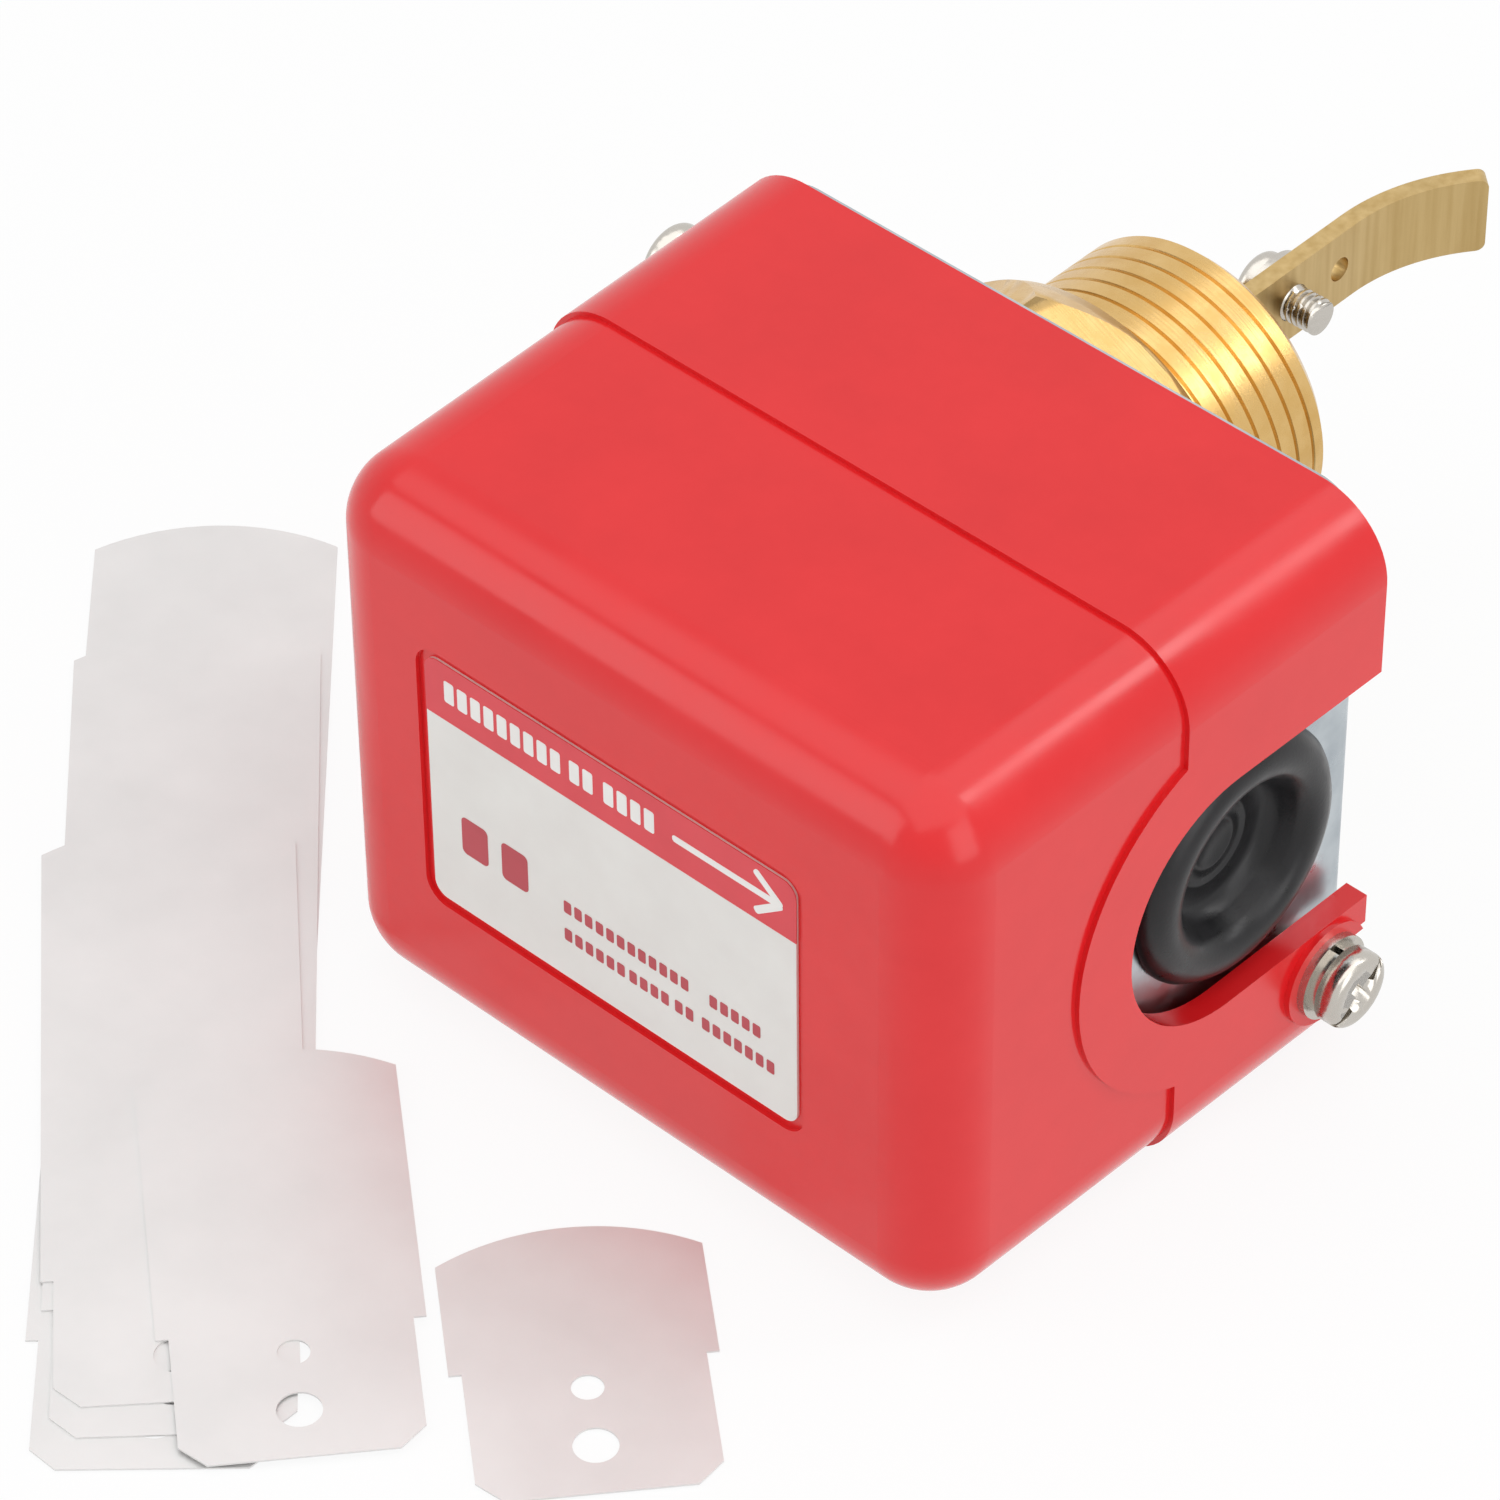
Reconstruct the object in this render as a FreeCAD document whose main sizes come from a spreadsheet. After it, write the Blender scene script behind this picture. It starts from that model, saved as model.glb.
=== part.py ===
"""Paddle flow switch: moulded cover, zinc chassis, brass pipe fitting and the lever that works the snap switch.

Frame: the origin is on the pipe thread's axis, halfway along the thread. +Y leaves the thread's mouth,
+X is the direction of flow and +Z is up. Lengths are in millimetres, angles in degrees.
"""
import FreeCAD, Part
import os
import re

import Sketcher
from FreeCAD import Placement, Rotation, Vector

doc = FreeCAD.newDocument("flow_switch")
sizes = doc.addObject("Spreadsheet::Sheet", "sizes")

VALUES = {
    # pipe thread G 1 and the hexagon above it
    "thread_diameter": 33.25,
    "thread_length": 17.5,
    "thread_chamfer": 1.2,
    "hex_flats": 41.0,
    "hex_length": 15.1,
    "hex_turn": 86.0,
    "hex_cone_end": 40.4,
    "hex_cone_angle": 29.5,
    "mouth_bore": 24.0,
    "mouth_depth": 22.75,
    "bush_bore": 15.0,
    "spigot_diameter": 22.0,
    "spigot_length": 8.0,
    "spigot_gap": 0.1,
    "body_nut_flats": 27.0,
    "body_nut_height": 4.5,
    # chassis: a base plate with two tabs bent forward
    "plate_thickness": 1.2,
    "tab_gap": 1.5,
    "plate_drop": 0.4,
    "plate_corner": 5.0,
    "bend_radius": 1.0,
    "tab_depth": 40.0,
    "tab_cut": 18.3,
    "tab_margin": 6.0,
    # cover
    "cover_shift": 10.0,
    "cover_length": 80.0,
    "cover_height": 64.8,
    "cover_depth": 59.2,
    "cover_wall": 2.5,
    "cover_corner": 8.1,
    "cover_front_radius": 7.3,
    "cover_draft": 0.72,
    "cover_step": 0.5,
    "front_depth": 32.1,
    "label_length": 46.5,
    "label_height": 30.0,
    "label_thickness": 0.3,
    "label_corner": 1.6,
    "label_shift": -1.8,
    "label_rise": 0.6,
    "label_recess": 0.5,
    "label_border": 1.0,
    # cable entry on the downstream side
    "entry_setback": 19.8,
    "entry_drop": 0.4,
    "entry_slot_width": 28.2,
    "entry_pad_radius": 21.2,
    "grommet_setback": 16.2,
    "grommet_lip": 27.0,
    "grommet_hole": 21.0,
    "grommet_flange": 25.0,
    "grommet_recess": 17.4,
    "grommet_floor": 14.0,
    "grommet_proud": 2.7,
    "grommet_behind": 1.6,
    "membrane_thickness": 0.8,
    # screws that hold the cover, one low on the right and one high on the left
    "cover_screw_setback": 6.0,
    "cover_screw_inset": 12.2,
    "screw_slot_width": 4.6,
    "boss_diameter": 11.2,
    "boss_proud": 0.5,
    "screw_diameter": 4.0,
    "screw_head_diameter": 8.0,
    "screw_head_height": 2.4,
    "screw_head_round": 0.9,
    "screw_tip": 1.0,
    "flat_washer_diameter": 9.0,
    "flat_washer_thickness": 0.8,
    "spring_washer_diameter": 7.4,
    "spring_washer_thickness": 0.9,
    "spring_washer_split": 0.8,
    "screw_nut_flats": 7.0,
    "screw_nut_height": 3.2,
    "turn_gap": 0.05,
    # lever that carries the paddle arm
    "pivot_setback": 17.0,
    "pivot_diameter": 3.0,
    "bush_length": 8.0,
    "bush_wall": 2.2,
    "bar_thickness": 2.5,
    "bar_height": 8.0,
    "bar_reach": 7.5,
    "bar_tail": 52.0,
    "arm_thickness": 2.0,
    "arm_height": 9.0,
    "arm_face": -1.1,
    "arm_start": 2.0,
    "arm_straight_end": 33.8,
    "arm_bend_radius": 22.0,
    "arm_bend_angle": 41.0,
    "arm_corner": 1.0,
    "arm_screw_reach": 24.2,
    "arm_hole_pitch": 7.2,
    "arm_hole_diameter": 2.7,
    "arm_screw_end": 3.6,
    "arm_screw_crest": 3.9,
    "rivet_diameter": 2.4,
    "rivet_head_diameter": 4.0,
    "rivet_head_height": 0.8,
    "rivet_pitch": 4.4,
    "lever_swing": 3.0,
    # bellows that seals the lever
    "bellows_diameter": 21.0,
    "bellows_root": 17.0,
    "bellows_length": 9.2,
    "bellows_folds": 3.0,
    "bellows_wall": 0.4,
    "bellows_cap": 1.0,
    "bellows_gap": 0.8,
    # range spring and its screw
    "range_inset": 8.0,
    "ear_thickness": 1.5,
    "ear_seat": 47.5,
    "ear_margin": 2.0,
    "range_screw_diameter": 3.0,
    "range_head_diameter": 5.6,
    "range_head_height": 2.2,
    "range_slot_gap": 0.3,
    "range_nut_flats": 5.5,
    "range_nut_height": 2.4,
    "range_nut_lift": 3.0,
    "spring_diameter": 5.2,
    "spring_wire": 0.6,
    "spring_turns": 6.0,
    # snap switch on its bracket
    "switch_length": 40.0,
    "switch_depth": 17.0,
    "switch_height": 16.0,
    "switch_round": 1.0,
    "switch_front": 72.0,
    "switch_start": 5.45,
    "switch_screw_shift": 18.0,
    "plunger_diameter": 3.4,
    "plunger_reach": 4.0,
    "plunger_gap": 0.05,
    "plunger_travel": 1.8,
    "plunger_seat": 2.0,
    "bracket_thickness": 1.2,
    "bracket_width": 9.5,
    "bracket_start": 14.5,
    "bracket_end": 68.5,
    "bracket_foot": 12.0,
    "switch_hole_pitch": 25.4,
    "switch_screw_diameter": 3.0,
    "switch_screw_head": 5.6,
    "switch_screw_head_height": 2.0,
    "terminal_pitch": 12.5,
    "terminal_width": 7.0,
    "terminal_length": 9.0,
    "terminal_thickness": 0.8,
    "terminal_screw_head": 5.4,
    "terminal_screw_height": 2.0,
    "foot_screw_diameter": 3.0,
    "foot_screw_head": 6.0,
    "foot_screw_height": 2.2,
    "foot_screw_shift": 19.2,
    "foot_screw_drop": 15.0,
    "earth_screw_shift": 30.0,
    "earth_screw_rise": 20.0,
    # loose stainless paddles that lie fanned beside the switch
    "paddle_width": 25.0,
    "paddle_tab_width": 22.6,
    "paddle_tab_length": 16.0,
    "paddle_chamfer": 2.5,
    "paddle_crown": 3.6,
    "paddle_thickness": 0.2,
    "paddle_hole_setback": 5.8,
    "paddle_screw_hole": 4.3,
    "paddle_peg_hole": 3.1,
    "paddle_one_length": 131.0,
    "paddle_two_length": 110.0,
    "paddle_three_length": 77.6,
    "paddle_four_length": 52.7,
    "paddle_five_length": 33.4,
    # where each loose paddle's holed end lies and how it is turned
    "paddle_one_x": 6.0,
    "paddle_two_x": 4.5,
    "paddle_three_x": 2.0,
    "paddle_four_x": 15.5,
    "paddle_five_x": 38.0,
    "paddle_one_y": -142.5,
    "paddle_two_y": -138.5,
    "paddle_three_y": -135.5,
    "paddle_four_y": -132.5,
    "paddle_five_y": -117.0,
    "paddle_one_turn": 43.5,
    "paddle_two_turn": 45.0,
    "paddle_three_turn": 47.0,
    "paddle_four_turn": 50.0,
    "paddle_five_turn": 50.0,
}

# sizes that follow from others
RULES = {
    "plate_length": "=cover_length - 2 * cover_wall - 2 * tab_gap",
    "tab_height": "=cover_height - tab_cut",
    "cover_screw_offset": "=cover_height / 2 - cover_screw_inset",
    "range_offset": "=plate_length / 2 - cover_shift - range_inset",
}

for row, (alias, value) in enumerate(list(VALUES.items()) + list(RULES.items()), start=1):
    sizes.set("A%d" % row, alias)
    sizes.set("B%d" % row, str(value))
    sizes.setAlias("B%d" % row, alias)
doc.recompute()


def size(alias):
    """The sheet's value, for code that has to choose an edge or a plain number."""
    return float(sizes.get(alias))


def formula(text):
    """Write each size's name in a formula as a reference to its cell in the sheet."""
    return re.sub(r"\b[a-z]+(?:_[a-z]+)+\b", lambda found: "sizes." + found.group(0), text)


def number(text):
    """What a formula comes to, worked out in a spare cell of the sheet."""
    sizes.set("D1", "=" + text)
    sizes.recompute()
    return float(sizes.get("D1"))


def tie(thing, **formulas):
    """Bind properties of an object to formulas of the sheet's sizes."""
    for prop, text in formulas.items():
        thing.setExpression(prop.replace("__", "."), formula(text))
    return thing


def place(thing, x="0", y="0", z="0"):
    """Bind an object's place to formulas."""
    for axis, text in (("x", x), ("y", y), ("z", z)):
        thing.setExpression(".Placement.Base." + axis, formula(text))
    return thing


ALONG = {"x": Rotation(Vector(0, 1, 0), 90), "y": Rotation(Vector(1, 0, 0), -90), "z": Rotation()}


def box(name, x, y, z):
    """A block between two formulas along each axis, given as (low, length) pairs."""
    block = doc.addObject("Part::Box", name)
    tie(block, Length=x[1], Width=y[1], Height=z[1])
    return place(block, x[0], y[0], z[0])


def rod(name, axis, diameter, length, x="0", y="0", z="0"):
    """A cylinder that starts at a point and runs along an axis."""
    cylinder = doc.addObject("Part::Cylinder", name)
    cylinder.Placement = Placement(Vector(), ALONG[axis])
    tie(cylinder, Radius="(%s) / 2" % diameter, Height=length)
    return place(cylinder, x, y, z)


def hexagon(name, axis, flats, length, x="0", y="0", z="0", turn=0.0):
    """A hexagonal prism, given across its flats, that runs along an axis."""
    prism = doc.addObject("Part::Prism", name)
    prism.Polygon = 6
    prism.Placement = Placement(Vector(), ALONG[axis] * Rotation(Vector(0, 0, 1), turn))
    tie(prism, Circumradius="(%s) / sqrt(3)" % flats, Height=length)
    return place(prism, x, y, z)


def fuse(name, *shapes):
    joined = doc.addObject("Part::MultiFuse", name)
    joined.Shapes = list(shapes)
    joined.Refine = True
    return joined


def cut(name, base, *tools):
    """One shape less the others."""
    tool = tools[0] if len(tools) == 1 else fuse(name + "_tools", *tools)
    remainder = doc.addObject("Part::Cut", name)
    remainder.Base = base
    remainder.Tool = tool
    remainder.Refine = True
    return remainder


def group(name, members):
    """Several separate solids kept as one piece."""
    set_of = doc.addObject("Part::Compound", name)
    set_of.Links = members
    return set_of


def common(name, base, tool):
    shared = doc.addObject("Part::Common", name)
    shared.Base = base
    shared.Tool = tool
    return shared


def rounded(name, base, radius, chosen, kind="Fillet"):
    """Fillet, or chamfer, the edges of a shape for which chosen(edge) is true."""
    doc.recompute()
    edges = [number for number, edge in enumerate(base.Shape.Edges, start=1) if chosen(edge)]
    fillet = doc.addObject("Part::" + kind, name)
    fillet.Base = base
    fillet.Edges = [(number, radius, radius) for number in edges]
    return fillet


def runs_along(edge, axis, slack=0.05):
    """True for a straight edge within a few degrees of an axis."""
    if not isinstance(edge.Curve, Part.Line):
        return False
    direction = edge.tangentAt(edge.FirstParameter)
    return abs(direction.dot(axis)) > 1.0 - slack


X_AXIS, Y_AXIS, Z_AXIS = Vector(1, 0, 0), Vector(0, 1, 0), Vector(0, 0, 1)


def new_body(name):
    return doc.addObject("PartDesign::Body", name)


def sketch_on(body, role, lift="0"):
    """A sketch on one of the body's own origin planes, lifted along the plane's normal."""
    plane = next(item for item in body.Origin.OriginFeatures if item.Role == role)
    sketch = body.newObject("Sketcher::SketchObject", body.Name + "_sketch")
    sketch.AttachmentSupport = [(plane, "")]
    sketch.MapMode = "FlatFace"
    sketch.setExpression(".AttachmentOffset.Base.z", formula(lift))
    return sketch


def outline(sketch, corners):
    """A closed outline of straight edges whose corners are pairs of formulas."""
    points = [Vector(number(u), number(v), 0) for u, v in corners]
    first = sketch.GeometryCount
    for start, end in zip(points, points[1:] + points[:1]):
        sketch.addGeometry(Part.LineSegment(start, end), False)
    for step, (u, v) in enumerate(corners):
        edge = first + step
        before = first + (step - 1) % len(corners)
        sketch.addConstraint(Sketcher.Constraint("Coincident", before, 2, edge, 1))
        for kind, text in (("DistanceX", u), ("DistanceY", v)):
            index = sketch.addConstraint(Sketcher.Constraint(kind, -1, 1, edge, 1, number(text)))
            sketch.setExpression("Constraints[%d]" % index, formula(text))


def ring(sketch, diameter, u="0", v="0"):
    """A circle in a sketch, its centre and diameter bound to formulas."""
    centre = Vector(number(u), number(v), 0)
    circle = sketch.addGeometry(Part.Circle(centre, Vector(0, 0, 1), number(diameter) / 2), False)
    for kind, text in (("DistanceX", u), ("DistanceY", v)):
        index = sketch.addConstraint(Sketcher.Constraint(kind, -1, 1, circle, 3, number(text)))
        sketch.setExpression("Constraints[%d]" % index, formula(text))
    index = sketch.addConstraint(Sketcher.Constraint("Diameter", circle, number(diameter)))
    sketch.setExpression("Constraints[%d]" % index, formula(diameter))


# ---------------------------------------------------------------- places that several pieces share
PLATE_REAR = "-(thread_length / 2 + hex_length)"
PLATE_FRONT = "(%s - plate_thickness)" % PLATE_REAR
FACE = "(%s - cover_depth)" % PLATE_FRONT
TAB_OUT = "(plate_length / 2)"
SHOULDER = "(-thread_length / 2)"


# ---------------------------------------------------------------- cover
def drafted_block(name, rear, front, inset, corner, front_round):
    """A block round the cover's middle that narrows forward with the draft, all its long edges rounded.

    rear and front are distances forward of the rim; inset is how far the sides lie inside the cover's own.
    """
    half_x = "(cover_length / 2 - (%s) - (%s) * tan(cover_draft))"
    half_z = "(cover_height / 2 - (%s) - (%s) * tan(cover_draft))"
    wedge = doc.addObject("Part::Wedge", name + "_wedge")
    tie(wedge, Ymin="0", Ymax="%s - %s" % (front, rear))
    tie(wedge, Xmin="-" + half_x % (inset, rear), Xmax=half_x % (inset, rear))
    tie(wedge, Zmin="-" + half_z % (inset, rear), Zmax=half_z % (inset, rear))
    tie(wedge, X2min="-" + half_x % (inset, front), X2max=half_x % (inset, front))
    tie(wedge, Z2min="-" + half_z % (inset, front), Z2max=half_z % (inset, front))
    wedge.Placement = Placement(Vector(), Rotation(Vector(0, 0, 1), 180))
    place(wedge, "cover_shift", "%s - %s" % (PLATE_FRONT, rear))
    sides = rounded(name + "_sides", wedge, number(corner), lambda edge: runs_along(edge, Y_AXIS))
    if not front_round:
        return sides
    doc.recompute()
    nearest = min(vertex.Y for vertex in sides.Shape.Vertexes)
    at_front = lambda edge: all(abs(vertex.Y - nearest) < 0.01 for vertex in edge.Vertexes)
    return rounded(name + "_round", sides, number(front_round), at_front)


front_half = drafted_block("front_half", "0", "cover_depth", "cover_step", "cover_corner - cover_step",
                           "cover_front_radius")
rear_half = drafted_block("rear_half", "0", "cover_depth - front_depth", "0", "cover_corner", None)
full_block = drafted_block("full_block", "0", "cover_depth - cover_front_radius", "0", "cover_corner", None)
hollow = drafted_block("hollow", "-1", "cover_depth - cover_wall", "cover_wall",
                       "cover_corner - cover_wall", "cover_front_radius - cover_wall")

ENTRY_Y = "(%s - entry_setback)" % PLATE_FRONT
SIDE_X = "(cover_shift + cover_length / 2)"
pad_reach = rod("pad_reach", "x", "2 * entry_pad_radius", "cover_length", "cover_shift", ENTRY_Y, "-entry_drop")
entry_pad = common("entry_pad", full_block, pad_reach)

SCREW_Y = "(%s - cover_screw_setback)" % PLATE_FRONT
right_boss = rod("right_boss", "x", "boss_diameter", "cover_wall + boss_proud",
                 SIDE_X + " - cover_wall", SCREW_Y, "-cover_screw_offset")
left_boss = rod("left_boss", "x", "boss_diameter", "cover_wall + boss_proud",
                "cover_shift - cover_length / 2 - boss_proud", SCREW_Y, "cover_screw_offset")
cover_solid = fuse("cover_solid", front_half, rear_half, entry_pad, right_boss, left_boss)


def open_slot(name, width, length, x, y, z, reach):
    """A slot through one side wall, round at its closed end and open at the rim."""
    straight = box(name + "_run", (x, reach), (y, length + " + 1"), ("%s - (%s) / 2" % (z, width), width))
    return fuse(name, straight, rod(name + "_end", "x", width, reach, x, y, z))


entry_slot = open_slot("entry_slot", "entry_slot_width", "entry_setback", "cover_shift + cover_length / 4",
                       ENTRY_Y, "(-entry_drop)", "cover_length")
right_slot = open_slot("right_slot", "screw_slot_width", "cover_screw_setback",
                       "cover_shift + cover_length / 4", SCREW_Y, "(-cover_screw_offset)", "cover_length")
left_slot = open_slot("left_slot", "screw_slot_width", "cover_screw_setback",
                      "cover_shift - cover_length * 5 / 4", SCREW_Y, "cover_screw_offset", "cover_length")


def label_block(name, border, depth, front):
    """A block with rounded corners in the cover's front, where the label lies."""
    block = box(name + "_block",
                ("cover_shift + label_shift - label_length / 2 - (%s)" % border, "label_length + 2 * (%s)" % border),
                (front, depth),
                ("label_rise - label_height / 2 - (%s)" % border, "label_height + 2 * (%s)" % border))
    corner = number("label_corner + (%s)" % border)
    return rounded(name, block, corner, lambda edge: runs_along(edge, Y_AXIS))


label_bed = label_block("label_bed", "label_border", "label_recess + 1", FACE + " - 1")
cover = cut("cover", cover_solid, hollow, entry_slot, right_slot, left_slot, label_bed)
label = label_block("label", "0", "label_thickness", "%s + label_recess - label_thickness" % FACE)


# ---------------------------------------------------------------- chassis
def tab(name, side):
    """A tab bent forward from the plate, and the holes that go through it."""
    low = "-cover_screw_offset - tab_margin" if side > 0 else "cover_screw_offset + tab_margin - tab_height"
    x = "cover_shift + plate_length / 2 - plate_thickness" if side > 0 else "cover_shift - plate_length / 2"
    return box(name, (x, "plate_thickness"), (PLATE_REAR + " - tab_depth", "tab_depth"), (low, "tab_height"))


plate_block = box("plate_block", ("cover_shift - plate_length / 2", "plate_length"),
                  (PLATE_FRONT, "plate_thickness"),
                  ("plate_drop - cover_height / 2", "cover_height - 2 * plate_drop"))
plate = rounded("plate", plate_block, size("plate_corner"), lambda edge: runs_along(edge, Y_AXIS))
folded = fuse("folded", plate, tab("right_tab", 1), tab("left_tab", -1))
rear = number(PLATE_REAR)
at_bend = lambda edge: runs_along(edge, Z_AXIS) and abs(edge.Vertexes[0].Y - rear) < 0.01
bent = rounded("bent", folded, size("bend_radius"), at_bend)
GROMMET_Y = "(%s - grommet_setback)" % PLATE_FRONT
TAB_X = "(cover_shift + plate_length / 2 - plate_thickness)"
spigot_hole = rod("spigot_hole", "y", "spigot_diameter + spigot_gap", "3 * plate_thickness",
                  "0", PLATE_FRONT + " - plate_thickness")
grommet_hole = rod("grommet_hole_cut", "x", "grommet_hole", "3 * plate_thickness",
                   TAB_X + " - plate_thickness", GROMMET_Y, "-entry_drop")
right_tap = rod("right_tap", "x", "screw_diameter + 2 * turn_gap", "3 * plate_thickness",
                TAB_X + " - plate_thickness", SCREW_Y, "-cover_screw_offset")
left_tap = rod("left_tap", "x", "screw_diameter + 2 * turn_gap", "3 * plate_thickness",
               "cover_shift - plate_length / 2 - plate_thickness", SCREW_Y, "cover_screw_offset")
foot_tap = rod("foot_tap", "y", "foot_screw_diameter + 2 * turn_gap", "3 * plate_thickness",
               "foot_screw_shift", PLATE_FRONT + " - plate_thickness", "-foot_screw_drop")
earth_tap = rod("earth_tap", "y", "foot_screw_diameter + 2 * turn_gap", "3 * plate_thickness",
                "earth_screw_shift", PLATE_FRONT + " - plate_thickness", "earth_screw_rise")
range_tap = rod("range_tap", "y", "range_screw_diameter + 2 * turn_gap", "3 * plate_thickness",
                "-range_offset", PLATE_FRONT + " - plate_thickness")
chassis = cut("chassis", bent, spigot_hole, grommet_hole, right_tap, left_tap, range_tap, foot_tap, earth_tap)


# ---------------------------------------------------------------- cable grommet
def turned(name, corners, x="0", y="0", z="0", along_x=False):
    """A solid of revolution. Its corners are (along, radius) pairs of formulas; it turns about Y, or about X."""
    body = new_body(name)
    sketch = sketch_on(body, "XY_Plane")
    if along_x:
        outline(sketch, [(along, radius) for along, radius in corners])
    else:
        outline(sketch, [(radius, along) for along, radius in corners])
    turn = body.newObject("PartDesign::Revolution", name + "_turn")
    turn.Profile = sketch
    turn.ReferenceAxis = (sketch, ["H_Axis" if along_x else "V_Axis"])
    turn.Angle = 360.0
    body.Tip = turn
    place(body, x, y, z)
    return body


cable_grommet = turned("cable_grommet", [
    ("-grommet_behind - plate_thickness", "0"),
    ("-grommet_behind - plate_thickness", "grommet_flange / 2"),
    ("-plate_thickness", "grommet_flange / 2"),
    ("-plate_thickness", "grommet_hole / 2"),
    ("0", "grommet_hole / 2"),
    ("0", "grommet_lip / 2 - 0.6"),
    ("grommet_proud * 0.35", "grommet_lip / 2"),
    ("grommet_proud * 0.75", "grommet_lip / 2 - 0.5"),
    ("grommet_proud", "grommet_lip / 2 - 1.9"),
    ("grommet_proud", "grommet_recess / 2 + 1.2"),
    ("grommet_proud * 0.75", "grommet_recess / 2"),
    ("membrane_thickness - grommet_behind - plate_thickness", "grommet_floor / 2"),
    ("membrane_thickness - grommet_behind - plate_thickness", "0"),
], "cover_shift + plate_length / 2", GROMMET_Y, "-entry_drop", along_x=True)


# ---------------------------------------------------------------- brass body with its pipe thread
hex_bar = hexagon("hex_bar", "y", "hex_flats", "hex_length", "0", PLATE_REAR, "0", size("hex_turn"))
CORNER_END = "(%s - (2 * hex_flats / sqrt(3) - hex_cone_end) / 2 / tan(hex_cone_angle))" % SHOULDER
blank_turn = turned("hex_blank", [
    (PLATE_REAR, "0"),
    (PLATE_REAR, "hex_flats / sqrt(3) + 0.1"),
    (CORNER_END, "hex_flats / sqrt(3) + 0.1"),
    (SHOULDER, "hex_cone_end / 2"),
    (SHOULDER, "0"),
])
hex_head = common("hex_head", hex_bar, blank_turn)
threaded_end = turned("threaded_end", [
    (SHOULDER + " - 1", "0"),
    (SHOULDER + " - 1", "thread_diameter / 2"),
    ("thread_length / 2 - thread_chamfer", "thread_diameter / 2"),
    ("thread_length / 2", "thread_diameter / 2 - thread_chamfer"),
    ("thread_length / 2", "0"),
])
spigot = rod("spigot", "y", "spigot_diameter", "spigot_length + 1", "0", PLATE_REAR + " - spigot_length")
mouth = rod("mouth", "y", "mouth_bore", "mouth_depth + 1", "0", "thread_length / 2 - mouth_depth")
bush_seat = rod("bush_seat", "y", "bush_bore", "hex_length + thread_length + spigot_length + 2", "0",
                PLATE_REAR + " - spigot_length - 1")
thread_body = cut("thread_body", fuse("body_solid", hex_head, threaded_end, spigot), mouth, bush_seat)

body_nut = cut("body_nut",
               hexagon("nut_bar", "y", "body_nut_flats", "body_nut_height", "0", PLATE_FRONT + " - body_nut_height",
                       turn=30.0),
               rod("nut_bore", "y", "spigot_diameter", "body_nut_height + 2", "0",
                   PLATE_FRONT + " - body_nut_height - 1"))


# ---------------------------------------------------------------- pivot of the lever
PIVOT_Y = "(-pivot_setback)"
bush_blank = rod("bush_blank", "y", "bush_bore", "bush_length", "0", PIVOT_Y + " - bush_length / 2")
bush_hollow = rod("bush_hollow", "y", "bush_bore - 2 * bush_wall", "bush_length + 2", "0",
                  PIVOT_Y + " - bush_length / 2 - 1")
pin_hole = rod("pin_hole", "z", "pivot_diameter", "bush_bore + 2", "0", PIVOT_Y, "-bush_bore / 2 - 1")
pivot_bush = cut("pivot_bush", bush_blank, bush_hollow, pin_hole)
pin_blank = rod("pin_blank", "z", "pivot_diameter", "bush_bore", "0", PIVOT_Y, "-bush_bore / 2")
pin_room = rod("pin_room", "y", "bush_bore", "bush_length", "0", PIVOT_Y + " - bush_length / 2")
pivot_pin = common("pivot_pin", pin_blank, pin_room)


# ---------------------------------------------------------------- lever bar, ear and paddle arm
BAR_X = "arm_face"
EAR_Y = "(-ear_seat)"
bar_block = box("bar_block", (BAR_X, "bar_thickness"), ("-bar_tail", "bar_tail + bar_reach"),
                ("-bar_height / 2", "bar_height"))
bar_pivot = rod("bar_pivot", "z", "pivot_diameter + 2 * turn_gap", "bar_height + 2", "0", PIVOT_Y,
                "-bar_height / 2 - 1")
pivot_eye = rod("pivot_eye", "z", "pivot_diameter + 2 * ear_thickness", "bar_height", "0", PIVOT_Y, "-bar_height / 2")
RIVET_MIDDLE = "(arm_start + bar_reach) / 2"
RIVET_Y = [RIVET_MIDDLE + " - rivet_pitch / 2", RIVET_MIDDLE + " + rivet_pitch / 2"]
THROUGH = "arm_thickness + bar_thickness"


def rivet_holes(name):
    """The two rivet holes through arm and bar."""
    return [rod("%s_rivet_hole_%d" % (name, step), "x", "rivet_diameter", THROUGH + " + 2",
                "arm_face - arm_thickness - 1", y) for step, y in enumerate(RIVET_Y, start=1)]


lever_bar = cut("lever_bar", fuse("bar_and_eye", bar_block, pivot_eye), bar_pivot, *rivet_holes("bar"))

HOLE_X = "(-range_offset)"
slot_width = "(range_screw_diameter + 2 * range_slot_gap)"
SWING_ROOM = "((ear_seat - pivot_setback) * sin(lever_swing))"
ear_end = "(range_offset + %s / 2 + ear_margin)" % slot_width
ear_plate = box("ear_plate", ("-" + ear_end, ear_end + " + arm_face"), (EAR_Y, "ear_thickness"),
                ("-bar_height / 2", "bar_height"))
ear_hole = rod("ear_hole", "y", slot_width, "ear_thickness + 2", HOLE_X, EAR_Y + " - 1")
ear_hole_end = rod("ear_hole_end", "y", slot_width, "ear_thickness + 2", HOLE_X + " + " + SWING_ROOM,
                   EAR_Y + " - 1")
ear_run = box("ear_run", (HOLE_X, SWING_ROOM), (EAR_Y + " - 1", "ear_thickness + 2"),
              ("-%s / 2" % slot_width, slot_width))
lever_ear = cut("lever_ear", ear_plate, ear_hole, ear_hole_end, ear_run)

ARM_X = "(arm_face - arm_thickness)"
ARM_MID_X = "(arm_face - arm_thickness / 2)"
arm_run = box("arm_run", (ARM_X, "arm_thickness"), ("arm_start", "arm_straight_end - arm_start"),
              ("-arm_height / 2", "arm_height"))


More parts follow.
